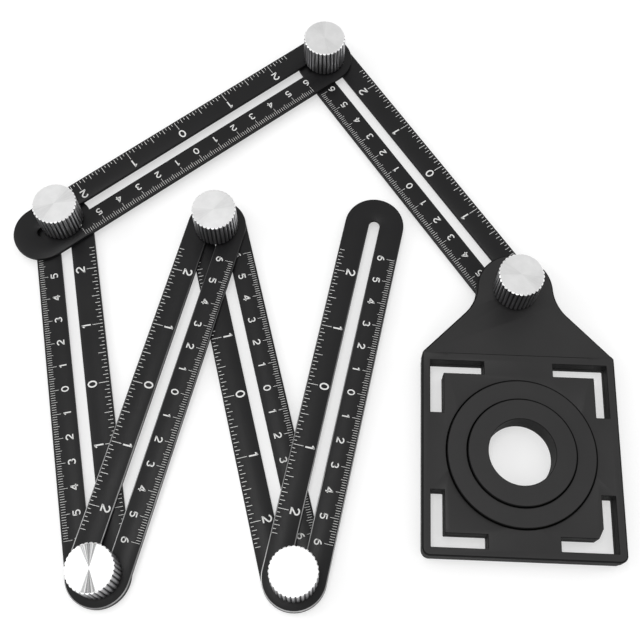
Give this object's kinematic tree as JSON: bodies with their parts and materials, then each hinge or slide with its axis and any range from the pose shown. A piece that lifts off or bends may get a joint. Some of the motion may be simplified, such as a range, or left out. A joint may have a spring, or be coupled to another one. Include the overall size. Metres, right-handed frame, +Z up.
{
  "type": "folding ruler",
  "caption": "Folding ruler of slotted black arms joined by fluted thumb knobs, with a square hole-locator plate that holds nested guide rings; it copies angles and marks tile cut-outs.",
  "frame": {"origin": "on the table, on the axis of the locator plate's guide hole", "axes": "+Z up along the guide hole, +Y from the guide hole towards the locator's neck, +X to the right"},
  "size_m": [0.2505, 0.2573, 0.0247],
  "materials": {
    "arm_black": "black anodised, satin",
    "knob_alu": "turned and fluted",
    "bolt_steel": "zinc plated",
    "washer_black": "matt",
    "locator_black": "satin moulded"
  },
  "bodies": {
    "arm_1": {"arm_1": "arm_black"},
    "arm_2": {"arm_2": "arm_black"},
    "arm_3": {"arm_3": "arm_black"},
    "arm_4": {"arm_4": "arm_black"},
    "arm_5": {"arm_5": "arm_black"},
    "arm_6": {"arm_6": "arm_black"},
    "bolt_1": {"bolt_1": "bolt_steel"},
    "knob_1": {"knob_1": "knob_alu"},
    "bolt_2": {"bolt_2": "bolt_steel"},
    "knob_2": {"knob_2": "knob_alu"},
    "washer_2": {"washer_2": "washer_black"},
    "bolt_3": {"bolt_3": "bolt_steel"},
    "knob_3": {"knob_3": "knob_alu"},
    "washer_3": {"washer_3": "washer_black"},
    "bolt_4": {"bolt_4": "bolt_steel"},
    "knob_4": {"knob_4": "knob_alu"},
    "washer_4": {"washer_4": "washer_black"},
    "bolt_5": {"bolt_5": "bolt_steel"},
    "knob_5": {"knob_5": "knob_alu"},
    "washer_5": {"washer_5": "washer_black"},
    "bolt_6": {"bolt_6": "bolt_steel"},
    "knob_6": {"knob_6": "knob_alu"},
    "washer_6": {"washer_6": "washer_black"},
    "locator": {"locator_shell": "locator_black", "locator_base": "locator_black", "base_screws": "bolt_steel", "washer_1": "washer_black"},
    "large_ring": {"large_ring": "locator_black"},
    "small_ring": {"small_ring": "locator_black"}
  },
  "joints": [
    {"name": "clamp_3_slide", "type": "slide", "parent": "arm_3", "child": "bolt_3", "axis": [-0.2215, 0.9751, 0], "range_m": [-0.015, 0]},
    {"name": "arm_2_swing", "type": "hinge", "parent": "bolt_3", "child": "washer_3", "pos_m": [-0.1921, 0.09425, 0.0035], "axis": [0, 0, 1], "range_deg": [-12, 150]},
    {"name": "arm_2_slide", "type": "slide", "parent": "washer_3", "child": "arm_2", "axis": [0.7815, 0.6239, 0], "range_m": [-0.025, 0.0095]},
    {"name": "knob_3_turn", "type": "hinge", "parent": "bolt_3", "child": "knob_3", "pos_m": [-0.1921, 0.09425, 0.0035], "axis": [0, 0, 1], "continuous": true},
    {"name": "clamp_2_slide", "type": "slide", "parent": "arm_2", "child": "washer_2", "axis": [-0.7815, -0.6239, 0], "range_m": [0, 0.025]},
    {"name": "arm_1_swing", "type": "hinge", "parent": "washer_2", "child": "bolt_2", "pos_m": [-0.08308, 0.18129, 0.0035], "axis": [0, 0, -1], "range_deg": [-150, 5]},
    {"name": "arm_1_slide", "type": "slide", "parent": "bolt_2", "child": "arm_1", "axis": [0.5934, -0.8049, 0], "range_m": [-0.022, 0]},
    {"name": "knob_2_turn", "type": "hinge", "parent": "bolt_2", "child": "knob_2", "pos_m": [-0.08308, 0.18129, 0.0035], "axis": [0, 0, 1], "continuous": true},
    {"name": "clamp_1_slide", "type": "slide", "parent": "arm_1", "child": "bolt_1", "axis": [0.5934, -0.8049, 0], "range_m": [-0.01, 0.009]},
    {"name": "locator_swing", "type": "hinge", "parent": "bolt_1", "child": "locator", "pos_m": [0, 0.0686, 0.0035], "axis": [0, 0, -1], "range_deg": [-145, 15]},
    {"name": "knob_1_turn", "type": "hinge", "parent": "bolt_1", "child": "knob_1", "pos_m": [0, 0.0686, 0.0035], "axis": [0, 0, 1], "continuous": true},
    {"name": "clamp_4_slide", "type": "slide", "parent": "arm_3", "child": "bolt_4", "axis": [-0.2215, 0.9751, 0], "range_m": [0, 0.015]},
    {"name": "arm_4_swing", "type": "hinge", "parent": "bolt_4", "child": "washer_4", "pos_m": [-0.15909, -0.05104, 0.0035], "axis": [0, 0, -1], "range_deg": [-6, 6]},
    {"name": "arm_4_slide", "type": "slide", "parent": "washer_4", "child": "arm_4", "axis": [0.2233, 0.9748, 0], "range_m": [-0.09, 0]},
    {"name": "knob_4_turn", "type": "hinge", "parent": "bolt_4", "child": "knob_4", "pos_m": [-0.15909, -0.05104, 0.0035], "axis": [0, 0, 1], "continuous": true},
    {"name": "clamp_5_slide", "type": "slide", "parent": "arm_4", "child": "washer_5", "axis": [0.2233, 0.9748, 0], "range_m": [-0.09, 0]},
    {"name": "arm_5_swing", "type": "hinge", "parent": "washer_5", "child": "bolt_5", "pos_m": [-0.12583, 0.0942, 0.0035], "axis": [0, 0, 1], "range_deg": [-17, 12]},
    {"name": "arm_5_slide", "type": "slide", "parent": "bolt_5", "child": "arm_5", "axis": [-0.2689, 0.9632, 0], "range_m": [0, 0.055]},
    {"name": "knob_5_turn", "type": "hinge", "parent": "bolt_5", "child": "knob_5", "pos_m": [-0.12583, 0.0942, 0.0035], "axis": [0, 0, 1], "continuous": true},
    {"name": "clamp_6_slide", "type": "slide", "parent": "arm_5", "child": "bolt_6", "axis": [0.2689, -0.9632, 0], "range_m": [-0.055, 0]},
    {"name": "arm_6_swing", "type": "hinge", "parent": "bolt_6", "child": "washer_6", "pos_m": [-0.08576, -0.04932, 0.0035], "axis": [0, 0, 1], "range_deg": [-8, 14]},
    {"name": "arm_6_slide", "type": "slide", "parent": "washer_6", "child": "arm_6", "axis": [-0.1822, -0.9833, 0], "range_m": [0, 0.13]},
    {"name": "knob_6_turn", "type": "hinge", "parent": "bolt_6", "child": "knob_6", "pos_m": [-0.08576, -0.04932, 0.0035], "axis": [0, 0, 1], "continuous": true},
    {"name": "large_ring_lift", "type": "slide", "parent": "locator", "child": "large_ring", "axis": [0, 0, 1], "range_m": [0, 0.02]},
    {"name": "small_ring_lift", "type": "slide", "parent": "large_ring", "child": "small_ring", "axis": [0, 0, 1], "range_m": [0, 0.02]}
  ]
}
